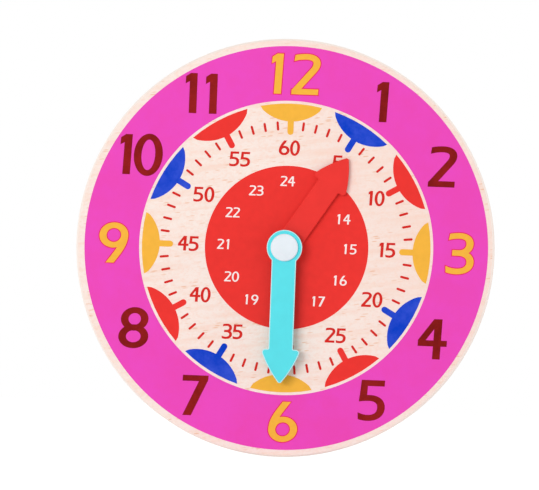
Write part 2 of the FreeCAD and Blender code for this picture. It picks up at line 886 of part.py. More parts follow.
def make_minute_pinion():
    """A pinion with a long plain hub behind it, which carries the minute wheel."""
    width = minute_pinion_front - minute_wheel_front
    hub_length = minute_wheel_front - minute_hub_back
    teeth = pinion_teeth("minute_pinion", slow_module, TOWARDS_CENTRE, width)
    hub = cylinder("minute_pinion_hub", minute_hub_radius, hub_length, base=-hub_length)
    bore_radius = size.stud_radius + size.running_clearance
    bore = cylinder("minute_pinion_bore", bore_radius, hub_length + width, base=-hub_length)
    return cut("minute_pinion", fused("minute_pinion_blank", [teeth, hub]), [bore])


def make_gears():
    """The four gears, in mesh: a pinion's tooth and a wheel's gap share the line between their axes."""
    minute_gap = TOWARDS_CENTRE + math.pi / MINUTE_WHEEL_TEETH
    hour_gap = TOWARDS_STUD + math.pi / HOUR_WHEEL_TEETH
    minute_wheel = wheel("minute_wheel", MINUTE_WHEEL_TEETH, fast_module, minute_gap, minute_hub_radius)
    hour_wheel = wheel("hour_wheel", HOUR_WHEEL_TEETH, slow_module, hour_gap, size.pipe_radius)
    return [
        stand_up(make_centre_pinion(), centre_pinion_back),
        stand_up(minute_wheel, minute_wheel_back, stud_drop),
        stand_up(make_minute_pinion(), minute_wheel_front, stud_drop),
        stand_up(hour_wheel, hour_wheel_back),
    ]


def make_plain_rings():
    pipe_bore = size.arbor_radius + size.running_clearance
    pipe_hole = size.pipe_radius + size.running_clearance
    return [
        stand_up(ring("thrust_washer", pipe_hole, size.thrust_radius, size.thrust_thickness), thrust_back),
        stand_up(ring("hour_pipe", pipe_bore, size.pipe_radius, pipe_front - hour_wheel_back), hour_wheel_back),
        stand_up(ring("hand_spacer", size.arbor_radius, size.spacer_radius, size.spacer_thickness), spacer_back),
    ]


def make_hands():
    hour_hand = make_hand("hour_hand", size.hour_reach, size.hour_hand_thickness, collet_hole)
    minute_hand = make_hand("minute_hand", size.minute_reach, size.minute_hand_thickness, square_hole)
    return [
        stand_up(hour_hand, hour_hand_back, turn=HOUR_HAND_TURN),
        stand_up(minute_hand, minute_hand_back, turn=MINUTE_HAND_TURN),
    ]


def export(pieces):
    """Stop on any object that failed or any bad shape, and otherwise write each piece's STEP file."""
    doc.recompute()
    failed = [item.Name for item in doc.Objects if {"Invalid", "Error"} & set(item.State)]
    if failed:
        raise RuntimeError(f"failed objects: {failed}")
    for piece in pieces:
        if piece.Shape.isNull() or not piece.Shape.isValid() or not piece.Shape.Solids:
            raise RuntimeError(f"{piece.Label} has a bad shape")
    os.makedirs("parts", exist_ok=True)
    for piece in pieces:
        piece.Shape.exportStep(f"parts/{piece.Label}.step")


export(
    [
        make_board(),
        make_plate(),
        stand_up(screw_group("plate_screws", plate_screw), plate_back),
        make_cover(),
        stand_up(screw_group("cover_screws", cover_screw)),
        make_bush(),
        make_stud(),
        make_clip(),
        make_spring(),
        make_arbor(),
        make_collet(),
        make_cap(),
        *make_gears(),
        *make_plain_rings(),
        *make_hands(),
    ]
)
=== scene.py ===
"""Looks of the geared teaching clock: its materials, printed dial, floor, lights and camera.

Everything is in metres in the frame of the CAD: X to the right of the dial, Z up, the dial
facing -Y. The print is laid out in millimetres, scaled to the board in the frame and turned into
thin closed layers.
"""

import math

import bpy
from mathutils import Matrix, Vector
from mathutils.geometry import delaunay_2d_cdt


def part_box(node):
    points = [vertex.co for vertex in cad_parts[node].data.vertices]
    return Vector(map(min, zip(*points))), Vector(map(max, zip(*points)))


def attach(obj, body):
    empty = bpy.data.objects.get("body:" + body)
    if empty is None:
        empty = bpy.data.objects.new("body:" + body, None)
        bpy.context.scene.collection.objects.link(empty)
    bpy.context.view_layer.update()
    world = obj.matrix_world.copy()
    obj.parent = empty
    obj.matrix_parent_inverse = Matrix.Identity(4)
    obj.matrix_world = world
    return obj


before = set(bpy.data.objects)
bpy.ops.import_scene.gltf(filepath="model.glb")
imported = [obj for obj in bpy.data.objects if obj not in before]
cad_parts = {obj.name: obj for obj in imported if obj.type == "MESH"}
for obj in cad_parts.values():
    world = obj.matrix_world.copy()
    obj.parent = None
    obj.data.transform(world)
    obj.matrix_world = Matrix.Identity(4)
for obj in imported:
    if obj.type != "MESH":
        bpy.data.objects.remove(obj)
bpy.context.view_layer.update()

MM = 0.001
# The print is laid out for a board of this radius, in millimetres, and follows the board in the frame.
LAYOUT_RADIUS = 102
PRINT_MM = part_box("clock_board")[1].x / LAYOUT_RADIUS
DIAL_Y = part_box("clock_board")[0].y
FLOOR_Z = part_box("clock_board")[0].z
BOARD_BODY = "board"


# ---------------------------------------------------------------- colours

def srgb(red, green, blue):
    """A display colour of 0 to 255 per channel as the linear colour of a shader."""
    def linear(value):
        share = value / 255
        return share / 12.92 if share <= 0.04045 else ((share + 0.055) / 1.055) ** 2.4
    return (linear(red), linear(green), linear(blue), 1.0)


PINK_DEEP, PINK_THIN = srgb(236, 74, 184), srgb(236, 76, 193)
YELLOW = srgb(246, 183, 66)
RED = srgb(237, 56, 51)
MAROON_DEEP, MAROON_THIN = srgb(121, 22, 20), srgb(148, 30, 29)
BLUE_DEEP, BLUE_THIN = srgb(8, 62, 197), srgb(54, 83, 212)
FINE_RED = srgb(214, 44, 38)
OVERPRINT = srgb(232, 44, 92)
WHITE = srgb(250, 238, 235)
BEECH = srgb(249, 233, 224)
BEECH_TAN = srgb(248, 226, 216)
BEECH_PORE = srgb(247, 212, 194)
BEECH_FLECK = srgb(234, 178, 138)
# A paler tone painted on the board's bevels as a highlight, as if they caught the light.
BEECH_PAINTED_HIGHLIGHT = srgb(250, 237, 228)
PLY_DARK = srgb(214, 178, 150)
TURQUOISE = srgb(87, 225, 234)
# A paler tone painted on the minute hand's bevels as a highlight, as if they caught the light.
TURQUOISE_PAINTED_HIGHLIGHT = srgb(190, 246, 250)
CAP_WHITE = srgb(230, 239, 245)
COVER_WHITE = srgb(238, 236, 231)
ACETAL = srgb(242, 240, 232)
NYLON = srgb(238, 235, 226)
BRASS = srgb(226, 196, 128)
STEEL = srgb(205, 206, 208)
ZINC_BLUE, ZINC_PALE = srgb(205, 209, 213), srgb(222, 225, 226)


# ---------------------------------------------------------------- materials

# The grain's turn from the dial's level, and where in the noise the board starts.
GRAIN_TURN, GRAIN_START = math.radians(8), (7.4, 0, 10.6)
# How squarely a surface faces the front or the back: a side less than the first of these, a flat face
# more than the second, and a bevel between them.
SIDE_FACING, FLAT_FACING = 0.3, 0.95
# The wood's change to tan: how far it reaches, how far clouds push it, how much height counts beside width.
TAN_REACH, TAN_STRAY, TAN_RISE = 70 * MM, 40 * MM, 0.5
# The plies under the face veneers: half their rhythm, where in it the darker one starts, and the veneer.
PLY_BEAT, PLY_DARK_START, VENEER = 1.33 * MM, 0.72 * MM, 0.8 * MM
FLECK_STRENGTH, PLY_STRENGTH = 0.7, 0.45
# Tool marks per metre, outwards from the hands' axis and along it.
GROOVES_OUT, GROOVES_ALONG = 9000.0, 5000.0


class Look:
    """A material under construction: a Principled shader and the nodes that feed it."""

    def __init__(self, name):
        self.material = bpy.data.materials.new(name)
        self.material.use_nodes = True
        self.tree = self.material.node_tree
        self.shader = self.tree.nodes["Principled BSDF"]

    def node(self, kind, **inputs):
        """A node with its sockets set or linked. An underscore stands for a space in a socket's name."""
        made = self.tree.nodes.new("ShaderNode" + kind)
        for socket, value in inputs.items():
            self.feed(made, socket.replace("_", " "), value)
        return made

    def feed(self, node, socket, value):
        """Sets or links a socket, given by its name or, after a #, by its number."""
        target = node.inputs[int(socket[1:])] if socket[0] == "#" else node.inputs[socket]
        if isinstance(value, bpy.types.NodeSocket):
            self.tree.links.new(value, target)
        else:
            target.default_value = value

    def place(self, scale):
        """Coordinates in the frame of the CAD, stretched by a scale per metre on each axis."""
        where = self.node("TexCoord").outputs["Object"]
        return self.node("Mapping", Vector=where, Scale=scale).outputs["Vector"]

    def grain(self, scale):
        """The same, with the board's grain as the first axis."""
        where = self.node("TexCoord").outputs["Object"]
        along = self.node("Mapping", Vector=where, Rotation=(0, GRAIN_TURN, 0)).outputs["Vector"]
        return self.node("Mapping", Vector=along, Location=GRAIN_START, Scale=scale).outputs["Vector"]

    def noise(self, scale, detail=2.0, roughness=0.5, grain=False):
        """Noise at a scale per metre on each axis, or along and across the board's grain."""
        where = self.grain(scale) if grain else self.place(scale)
        made = self.node("TexNoise", Vector=where, Scale=1.0, Detail=detail, Roughness=roughness)
        return made.outputs["Fac"]

    def ramp(self, fac, low, high):
        """Nothing below low, all above high."""
        made = self.tree.nodes.new("ShaderNodeMapRange")
        self.feed(made, "Value", fac)
        self.feed(made, "From Min", low)
        self.feed(made, "From Max", high)
        return made.outputs["Result"]

    def between(self, fac, low, high):
        """A number that goes from low to high with fac."""
        made = self.tree.nodes.new("ShaderNodeMapRange")
        self.feed(made, "Value", fac)
        self.feed(made, "To Min", low)
        self.feed(made, "To Max", high)
        return made.outputs["Result"]

    def mix(self, fac, first, second):
        """A colour that goes from first to second with fac."""
        made = self.tree.nodes.new("ShaderNodeMix")
        made.data_type = "RGBA"
        self.tree.links.new(fac, made.inputs[0])
        self.feed(made, "#6", first)
        self.feed(made, "#7", second)
        return made.outputs[2]

    def math(self, operation, first, second=0.0):
        """One or two numbers under an operation of the Math node."""
        made = self.tree.nodes.new("ShaderNodeMath")
        made.operation = operation
        self.feed(made, "#0", first)
        self.feed(made, "#1", second)
        return made.outputs[0]

    def facing(self):
        """How squarely a surface faces the front or the back: one on a flat front, nothing on a side."""
        normal = self.node("NewGeometry").outputs["Normal"]
        return self.math("ABSOLUTE", self.node("SeparateXYZ", Vector=normal).outputs["Y"])

    def bevels(self):
        """One on the slanted edges between a piece's front or back and its sides, nothing elsewhere."""
        facing = self.facing()
        beyond_sides = self.math("GREATER_THAN", facing, SIDE_FACING)
        short_of_faces = self.math("LESS_THAN", facing, FLAT_FACING)
        return self.math("MULTIPLY", beyond_sides, short_of_faces)

    def bump(self, height, strength, depth):
        """Uneven skin of a depth in metres, where height goes from nothing to one."""
        made = self.node("Bump", Height=height, Strength=strength, Distance=depth)
        self.tree.links.new(made.outputs["Normal"], self.shader.inputs["Normal"])

    def surface(self, **inputs):
        """The finished material, with the shader's sockets set or linked."""
        for socket, value in inputs.items():
            self.feed(self.shader, socket.replace("_", " "), value)
        return self.material


def shade(colour, factor):
    """The same colour, lighter or darker."""
    return tuple(min(1.0, c * factor) for c in colour[:3]) + (1.0,)


def tan_side(look, where, clouds):
    """How tan the wood is: not at all at the lower left, fully at the upper right, with a cloudy border."""
    across = look.math("ADD", where.outputs["X"], look.math("MULTIPLY", where.outputs["Z"], TAN_RISE))
    across = look.math("ADD", across, look.between(clouds, -TAN_STRAY, TAN_STRAY))
    return look.ramp(across, 0.0, TAN_REACH)


def ray_flecks(look):
    """The short dark flecks of beech: the middles of long thin cells, in patches and on the faces only."""
    cells = look.node("TexVoronoi", Vector=look.grain((150, 1, 800)), Scale=1.0).outputs["Distance"]
    patches = look.ramp(look.noise((60, 60, 90), detail=1.0), 0.44, 0.6)
    flecks = look.math("MULTIPLY", look.ramp(cells, 0.27, 0.16), patches)
    return look.math("MULTIPLY", flecks, look.math("GREATER_THAN", look.facing(), FLAT_FACING))


def dark_plies(look, depth):
    """One at every second ply and nothing in the veneers, so that plies show wherever the board is cut."""
    dark = look.math("GREATER_THAN", look.math("PINGPONG", depth, PLY_BEAT), PLY_DARK_START)
    from_middle = look.math("ABSOLUTE", look.math("ADD", depth, -DIAL_Y / 2))
    inside = look.math("LESS_THAN", from_middle, -DIAL_Y / 2 - VENEER)
    return look.math("MULTIPLY", dark, inside)


def beech_plywood():
    """Pale beech veneer on plies: fine pores and long streaks along the grain, flecks, and a highlight
    painted on the bevels.
    """
    look = Look("beech_plywood")
    where = look.node("SeparateXYZ", Vector=look.node("TexCoord").outputs["Object"])
    clouds = look.noise((9, 9, 40), detail=3.0)
    pores = look.noise((620, 300, 850), roughness=0.6, grain=True)
    streaks = look.noise((32, 100, 380), grain=True)
    flecks = look.math("MULTIPLY", ray_flecks(look), FLECK_STRENGTH)
    plies = look.math("MULTIPLY", dark_plies(look, where.outputs["Y"]), PLY_STRENGTH)
    tone = look.mix(tan_side(look, where, clouds), BEECH, BEECH_TAN)
    tone = look.mix(look.ramp(pores, 0.45, 1.0), tone, BEECH_PORE)
    tone = look.mix(look.ramp(streaks, 0.46, 0.95), tone, BEECH_PORE)
    tone = look.mix(flecks, tone, BEECH_FLECK)
    # Painted highlight: the bevels are painted paler, as if lit.
    tone = look.mix(look.bevels(), tone, BEECH_PAINTED_HIGHLIGHT)
    tone = look.mix(plies, tone, PLY_DARK)
    look.bump(pores, strength=0.12, depth=0.05 * MM)
    return look.surface(Base_Color=tone, Roughness=look.between(clouds, 0.6, 0.72), Specular_IOR_Level=0.12)


def print_ink(name, deep, thin=None):
    """Satin screen-printed ink with the faintest trace of the wood under it. A coat with a thin tone is
    uneven: deep where it lies thick, paler where the ground shows through."""
    look = Look(name)
    trace = look.noise((60, 60, 900), detail=3.0)
    if thin:
        coat = look.noise((45, 45, 45), detail=6.0, roughness=0.7)
        tone = look.mix(look.ramp(coat, 0.39, 0.61), deep, thin)
    else:
        coat = look.noise((260, 260, 260))
        tone = look.mix(look.ramp(coat, 0.3, 0.7), shade(deep, 0.965), shade(deep, 1.02))
    look.bump(trace, strength=0.1, depth=0.04 * MM)
    return look.surface(Base_Color=tone, Roughness=look.between(trace, 0.5, 0.62), Specular_IOR_Level=0.03)


def moulded(name, colour, roughness=0.38, specular=0.3, grain=700, depth=0.02, edge=None):
    """Moulded plastic: an even colour with a soft flow mottle and a fine satin skin, whose depth is in
    millimetres. edge is a paler tone painted on its bevels as a highlight."""
    look = Look(name)
    mottle = look.noise((170, 170, 170))
    skin = look.noise((grain, grain, grain))
    tone = look.mix(look.ramp(mottle, 0.3, 0.7), shade(colour, 0.97), shade(colour, 1.015))
    # Painted highlight: the bevels are painted in the paler edge tone.
    if edge:
        tone = look.mix(look.bevels(), tone, edge)
    look.bump(skin, strength=0.15, depth=depth * MM)
    finish = look.between(mottle, roughness - 0.04, roughness + 0.05)
    return look.surface(Base_Color=tone, Roughness=finish, Specular_IOR_Level=specular)


def turned(name, colour, roughness):
    """Turned metal, with the tool's fine rings about the hands' axis."""
    look = Look(name)
    where = look.node("SeparateXYZ", Vector=look.node("TexCoord").outputs["Object"])
    across = look.math("MULTIPLY", where.outputs["X"], where.outputs["X"])
    up = look.math("MULTIPLY", where.outputs["Z"], where.outputs["Z"])
    radius = look.math("SQRT", look.math("ADD", across, up))
    out = look.math("MULTIPLY", radius, GROOVES_OUT)
    along = look.math("MULTIPLY", where.outputs["Y"], GROOVES_ALONG)
    rings = look.node("CombineXYZ", X=out, Y=along).outputs["Vector"]
    grooves = look.node("TexNoise", Vector=rings, Scale=1.0, Detail=2.0).outputs["Fac"]
    stain = look.noise((240, 240, 240))
    tone = look.mix(look.ramp(stain, 0.35, 0.75), colour, shade(colour, 0.86))
    look.bump(grooves, strength=0.2, depth=0.01 * MM)
    finish = look.between(grooves, roughness - 0.06, roughness + 0.08)
    return look.surface(Base_Color=tone, Metallic=1.0, Roughness=finish)


def zinc_plate():
    """Bright zinc plate: bluish crystals with a little haze."""
    look = Look("zinc_plated_steel")
    crystals = look.node("TexVoronoi", Vector=look.place((700, 700, 700)), Scale=1.0)
    haze = look.noise((150, 150, 150), detail=3.0)
    tone = look.mix(crystals.outputs["Color"], ZINC_BLUE, ZINC_PALE)
    look.bump(haze, strength=0.1, depth=0.02 * MM)
    return look.surface(Base_Color=tone, Metallic=1.0, Roughness=look.between(haze, 0.26, 0.44))


def assign(material, *names):
    """One material on whole CAD nodes."""
    for name in names:
        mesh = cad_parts[name].data
        mesh.materials.clear()
        mesh.materials.append(material)


assign(beech_plywood(), "clock_board")
# The minute hand's bevels get a painted highlight.
assign(moulded("turquoise_plastic", TURQUOISE, roughness=0.45, specular=0.2, edge=TURQUOISE_PAINTED_HIGHLIGHT),
       "minute_hand")
assign(moulded("red_plastic", RED, specular=0.06), "hour_hand")
assign(moulded("white_plastic", CAP_WHITE, roughness=0.5, specular=0.12), "hub_cap")
assign(moulded("cover_plastic", COVER_WHITE, roughness=0.55, grain=2600, depth=0.06), "gear_cover")
assign(moulded("gear_acetal", ACETAL, roughness=0.42, grain=1200),
       "centre_pinion", "minute_wheel", "minute_pinion", "hour_wheel")
assign(moulded("nylon", NYLON, roughness=0.5, grain=1500), "thrust_washer", "hand_spacer")
assign(turned("brass", BRASS, 0.3), "centre_bush", "hour_pipe", "hour_collet")
assign(turned("bright_steel", STEEL, 0.27), "idler_stud", "stud_clip", "friction_spring", "minute_arbor")
assign(zinc_plate(), "gear_plate", "plate_screws", "cover_screws")


# ---------------------------------------------------------------- flat shapes of the print

ARC_STEP, RING_STEP = math.radians(4), math.radians(2)
ROUND_END_STEPS = 8


def on_circle(radius, angle, centre=(0.0, 0.0)):
    """A point at a clock angle, in radians from 12 and clockwise as the hands turn."""
    return (centre[0] + radius * math.sin(angle), centre[1] + radius * math.cos(angle))


def arc(radius, start, end):
    """Points along an arc about the dial's centre."""
    steps = max(1, round(abs(end - start) / ARC_STEP))
    return [on_circle(radius, start + (end - start) * k / steps) for k in range(steps + 1)]


def ring(inner, outer, eye=(0.0, 0.0)):
    """A ring as a run of four-sided shapes. eye is the middle of its hole."""
    count = round(2 * math.pi / RING_STEP)
    shapes = []
    for k in range(count):
        a, b = k * RING_STEP, (k + 1) % count * RING_STEP
        hole = [on_circle(inner, a, eye), on_circle(inner, b, eye)]
        rim = [on_circle(outer, b), on_circle(outer, a)]
        shapes.append(hole + rim)
    return shapes


def bar(start, end, width, rounded=(False, False)):
    """A straight bar between two points, with flat or round ends."""
    along = Vector(end) - Vector(start)
    heading = math.atan2(along.x, along.y)
    half, quarter = width / 2, math.pi / 2
    outline = []
    for centre, turn, is_round in ((start, heading + math.pi, rounded[0]), (end, heading, rounded[1])):
        if is_round:
            turns = [turn - quarter + math.pi * k / ROUND_END_STEPS for k in range(ROUND_END_STEPS + 1)]
            outline += [on_circle(half, t, centre) for t in turns]
        else:
            outline += [on_circle(half, turn - quarter, centre), on_circle(half, turn + quarter, centre)]
    return outline


def turned_by(shape, angle):
    """A shape turned clockwise about the dial's centre."""
    c, s = math.cos(angle), math.sin(angle)
    return [(x * c + y * s, y * c - x * s) for x, y in shape]


# ---------------------------------------------------------------- numerals

class Nib:
    """The pen of a typeface: half its width across and up, and how far the middle of its line is from the
    middle of a zero, all in hundredths of the numeral's height, and the steps in each of its curves."""

    def __init__(self, across, up, zero, steps):
        self.across, self.up, self.zero, self.steps = across, up, zero, steps

    def half(self, normal):
        return math.hypot(self.across * normal.x, self.up * normal.y)


def curve(nib, *legs):
    """Points along joined cubic curves: a start, then control, control and end for each. A leg of one point
    is straight."""
    points = [Vector(legs[0])]
    for leg in legs[1:]:
        start = points[-1]
        if len(leg) == 2:
            points.append(Vector(leg))
            continue
        a, b, end = (Vector(p) for p in leg)
        for k in range(1, nib.steps + 1):
            t = k / nib.steps
            u = 1 - t
            points.append(u ** 3 * start + 3 * u * u * t * a + 3 * u * t * t * b + t ** 3 * end)
    return points


# What a mitre is divided by at least, so that a sharp corner of a stroke doesn't run out to a spike.
STROKE_MITRE = 0.5


def clear_of_cut(nib, points, cut):
    """The points without those after the first that its slanted end edge would reach past."""
    if not cut:
        return points
    along = (points[1] - points[0]).normalized()
    normal = Vector((-along.y, along.x))
    edge = Vector(cut).normalized()
    reach = nib.half(normal) * abs(edge.dot(along) / edge.dot(normal))
    rest = [p for p in points[1:] if (p - points[0]).length > reach]
    return points[:1] + (rest or points[-1:])


def stroke(nib, points, first_cut=None, last_cut=None):
    """The outline of a pen stroke along the points. A cut is the direction of the edge at that end."""
    points = clear_of_cut(nib, points, first_cut)
    points = clear_of_cut(nib, points[::-1], last_cut)[::-1]
    left, right = [], []
    last = len(points) - 1
    for k, point in enumerate(points):
        before = (point - points[k - 1]).normalized() if k else None
        after = (points[k + 1] - point).normalized() if k < last else None
        along = ((before or after) + (after or before)).normalized()
        normal = Vector((-along.y, along.x))
        half = nib.half(normal)
        cut = first_cut if k == 0 else last_cut if k == last else None
        if cut:
            edge = Vector(cut).normalized()
            side = edge * (half / edge.dot(normal))
        else:
            mitre = normal.dot(Vector((-before.y, before.x))) if before else 1.0
            side = normal * (half / max(STROKE_MITRE, mitre))
        left.append(point + side)
        right.append(point - side)
    return left + right[::-1]


def oval(nib, centre, across, up):
    """A ring with the pen's own weight, in two halves that meet exactly."""
    count = 4 * nib.steps
    middle, inner, outer = Vector(centre), [], []
    for k in range(count):
        angle = 2 * math.pi * k / count
        way = Vector((math.sin(angle), math.cos(angle)))
        inner.append(middle + Vector((way.x * (across - nib.across), way.y * (up - nib.up))))
        outer.append(middle + Vector((way.x * (across + nib.across), way.y * (up + nib.up))))
    half = count // 2
    inner.append(inner[0])
    outer.append(outer[0])
    return [outer[:half + 1] + inner[half::-1], outer[half:] + inner[:half - 1:-1]]


# Each glyph is a list of shapes a hundred high, with its foot at y = 0 and, but for the flag of the 1,
# its left at about x = 0. LEVEL is the cut of a stroke that ends in a level edge.
LEVEL = (1, 0)


def glyph_0(nib):
    return oval(nib, (nib.zero + 9.2, 50), nib.zero, 45.4)


def glyph_1(nib):
    stem = 2 * nib.across
    drop = 0.95 * stem
    flag = [(0.7, 98 - drop), (-10.1, 91.7 - drop), (-9.7, 91.7), (2.5, 100), (stem, 100), (stem, 80)]
    return [[(0, 0), (stem, 0), (stem, 100), (2.5, 100), (0, 98)], flag]


def glyph_2(nib):
    path = curve(nib, (2.6, 90.2),
                 ((12, 92.8), (21, 94.2), (32, 94.2)),
                 ((48, 94.2), (58.4, 88), (58.4, 77.3)),
                 ((58.4, 68), (51, 60.2), (43, 50.4)),
                 (12.1, 12.5))
    foot = 2 * nib.up
    base = [(0, 0), (66.4, 0), (66.4, foot), (12, foot), (0, 0.87 * foot)]
    return [stroke(nib, path, (0.1, 1), LEVEL), base]


def glyph_3(nib):
    top = curve(nib, (5.3, 91.2),
                ((14, 93.5), (22, 94.6), (31.6, 94.6)),
                ((47, 94.6), (57.4, 86.5), (57.4, 74.2)),
                ((57.4, 61), (46, 51.9), (31.6, 51.9)),
                (14.9, 51.9))
    bottom = curve(nib, (14.9, 51.9),
                   (31, 51.9),
                   ((48, 51.9), (60.8, 43), (60.8, 28.9)),
                   ((60.8, 14.5), (47.5, 5.8), (28, 5.8)),
                   ((18, 5.8), (9, 7.8), (1.2, 10.8)))
    return [stroke(nib, top, (0.14, 1), None), stroke(nib, bottom, None, (-0.1, 1))]


def glyph_4(nib):
    stem, foot, right = 2 * nib.across, 2 * nib.up, 57.3
    left = right - stem
    shelf = 32 + foot
    inner = shelf + (left - stem) * 1.46
    arm = [(36.8, 100), (0, shelf), (stem, shelf), (left, inner), (left, 100)]
    cross = [(0, 32), (72.2, 32), (72.2, shelf), (0, shelf)]
    return [[(left, 0), (right, 0), (right, 100), (left, 100)], arm, cross]


def glyph_5(nib):
    foot, stem = 2 * nib.up, 1.75 * nib.across
    flag = [(4.7, 100 - foot), (62.8, 100 - foot), (62.8, 100), (4.7, 100)]
    back = [(1.8, 45.8), (3.2 + stem, 50), (4.2 + stem, 60), (4.7 + stem, 100), (4.7, 100)]
    bowl = curve(nib, (1.8, 46 + nib.up),
                 ((10, 47.5 + nib.up), (18, 48 + nib.up), (27, 48 + nib.up)),
                 ((45, 48 + nib.up), (57.5, 47.5), (57.5, 31.5)),
                 ((57.5, 15.5), (45, 5.8), (26, 5.8)),
                 ((16, 5.8), (8, 7.6), (1.2, 10.4)))
    return [flag, back, stroke(nib, bowl, (0.05, 1), (-0.1, 1))]


def glyph_6(nib):
    tail = curve(nib, (8.5, 31.2), ((8.5, 56), (22.7, 73.6), (41.1, 100)))
    return oval(nib, (35.6, 31.2), 27.1, 24.4) + [stroke(nib, tail, None, LEVEL)]


def glyph_7(nib):
    shelf = 100 - 1.95 * nib.up
    return [[(0, shelf), (41, shelf), (63, shelf), (64, 100), (0, 100)],
            [(5.8, 0), (27, 0), (63.8, 89), (64, 100), (44, 93)]]


def glyph_8(nib):
    return oval(nib, (36.2, 71.9), 24.9, 21.9) + oval(nib, (35.9, 28.5), 27.9, 22.3)


def glyph_9(nib):
    """A 6 on its head."""
    return [[Vector((71.2 - p[0], 100 - p[1])) for p in shape] for shape in glyph_6(nib)]


GLYPHS = {"0": glyph_0, "1": glyph_1, "2": glyph_2, "3": glyph_3, "4": glyph_4,
          "5": glyph_5, "6": glyph_6, "7": glyph_7, "8": glyph_8, "9": glyph_9}
SLANT = math.tan(math.radians(2.3))
# From one digit's left to the next one's, and what a last 1 stands further off for its flag.
DIGIT_ADVANCE, ONE_BEARING = 74.5, 27


def numeral(number, height, turn, radius, nib, one_gap, slant=SLANT):
    """The shapes of a number, upright on the dial, centred at a clock angle in degrees and a radius in
    millimetres. Its height is in millimetres too, and one_gap in hundredths of the height."""
    shapes, pen = [], 0.0
    for digit in str(number):
        for shape in GLYPHS[digit](nib):
            shapes.append([(pen + p[0] + slant * p[1], p[1]) for p in shape])
        pen += one_gap if digit == "1" else DIGIT_ADVANCE
        if str(number).endswith("1") and digit != "1":
            pen += ONE_BEARING
    xs = [x for shape in shapes for x, _ in shape]
    ys = [y for shape in shapes for _, y in shape]
    middle = ((min(xs) + max(xs)) / 2, (min(ys) + max(ys)) / 2)
    scale = height / 100
    cx, cy = on_circle(radius, math.radians(turn))

    def placed(x, y):
        return (cx + (x - middle[0]) * scale, cy + (y - middle[1]) * scale)

    return [[placed(x, y) for x, y in shape] for shape in shapes]


HOUR_NIB, QUARTER_NIB = Nib(9.5, 7.45, 26.6, 12), Nib(8.8, 6.9, 26.6, 12)
MINUTE_NIB = Nib(9.6, 7.7, 24.6, 9)
DAY_NIB = Nib(8.6, 6.6, 27.6, 8)
HOUR_HEIGHT, MINUTE_HEIGHT, DAY_HEIGHT = 19.6, 7.15, 4.85
# From a first 1's left to the next digit's, in each row of numbers.
HOUR_ONE_GAPS = {10: 25.5, 11: 50.3, 12: 43.6}
MINUTE_ONE_GAP, DAY_ONE_GAP = 34, 51
# The clock angle of each number's centre in degrees and its radius in millimetres. The numbers stand a
# little off the even places, each by its own amount.
HOUR_PLACES = {12: (1.1, 85), 1: (31.4, 85.3), 2: (60.5, 86), 3: (89.8, 84.8), 4: (119.8, 84.1),
               5: (148.6, 85.3), 6: (178.9, 84.8), 7: (209.6, 84.5), 8: (240.3, 84),
               9: (269.7, 84.3), 10: (300.7, 84.1), 11: (329.1, 86.1)}
MINUTE_PLACES = {60: (359.8, 48.8), 5: (29, 48.5), 10: (59.2, 50.3), 15: (89.2, 49.4),
                 20: (119, 48.9), 25: (148.5, 49), 30: (179.6, 48.7), 35: (210.7, 48.5),
                 40: (239.4, 47.7), 45: (270.5, 47.8), 50: (301, 47.9), 55: (330.3, 48.9)}
DAY_PLACES = {24: (358.9, 32.4), 13: (30.4, 31.7), 14: (61.8, 31.2), 15: (89.5, 31.1),
              16: (119.5, 30.8), 17: (147.1, 30.6), 18: (179.6, 30.5), 19: (211.7, 30.5),
              20: (240.1, 30.3), 21: (271.1, 31), 22: (301.1, 31.4), 23: (329.9, 31.5)}


def hour_numerals(hours, nib):
    """The shapes of some of the hours. The 11 stands straight and the rest lean a little."""
    shapes = []
    for hour in hours:
        turn, radius = HOUR_PLACES[hour]
        slant = 0.0 if hour == 11 else SLANT
        shapes += numeral(hour, HOUR_HEIGHT, turn, radius, nib, HOUR_ONE_GAPS.get(hour, 0), slant)
    return shapes


def small_numerals(places, height, nib, one_gap):
    """The shapes of a row of small numbers."""
    shapes = []
    for number, (turn, radius) in places.items():
        shapes += numeral(number, height, turn, radius, nib, one_gap)
    return shapes


# ---------------------------------------------------------------- marks of the dial

# An hour marker: half its angle, the radius of its outer edge, the hub that its bowl is struck from, the
# steps of the bowl, how deep each colour's bowl hangs, and its stem.
MARKER_HALF_DEG, MARKER_OUTER, MARKER_BOWL_HUB = 12.3, 70.45, 82.65
BOWL_STEPS = 16
YELLOW_LOW, BLUE_LOW, RED_LOW = 61.7, 61.9, 61.8
STEM_END, STEM_WIDTH, STEM_OVERLAP = 55.2, 3.0, 1
TICK_INNER, TICK_OUTER, TICK_WIDTH = 57.4, 61.9, 1.14
RING_INNER, RING_OUTER = 71.8, 98.5
DISC_RADIUS, BUSH_CLEARANCE = 39.9, 8.1
# The print stands a little off the hands' axis, and its red disc a little more.
PRINT_CENTRE, DAY_DISC_CENTRE = (0.52, -0.03), (0.76, 0.17)
# The hours whose marker and number are yellow. The blue markers follow one hour later and the red two.
QUARTERS = (12, 3, 6, 9)


def marker(hour, low):
    """A bowl that hangs inside the ring down to a radius of low, with a round-ended stem below it."""
    half = math.radians(MARKER_HALF_DEG)
    top = arc(MARKER_OUTER, -half, half)
    hub, radius = (0.0, MARKER_BOWL_HUB), MARKER_BOWL_HUB - low
    reach = math.atan2(MARKER_OUTER * math.sin(half), MARKER_BOWL_HUB - MARKER_OUTER * math.cos(half))
    turns = [reach * (1 - 2 * k / BOWL_STEPS) for k in range(1, BOWL_STEPS)]
    bottom = [(hub[0] + radius * math.sin(a), hub[1] - radius * math.cos(a)) for a in turns]
    stem = bar((0.0, low + STEM_OVERLAP), (0.0, STEM_END + STEM_WIDTH / 2), STEM_WIDTH, (False, True))
    angle = math.radians(30 * hour)
    return [turned_by(top + bottom, angle), turned_by(stem, angle)]


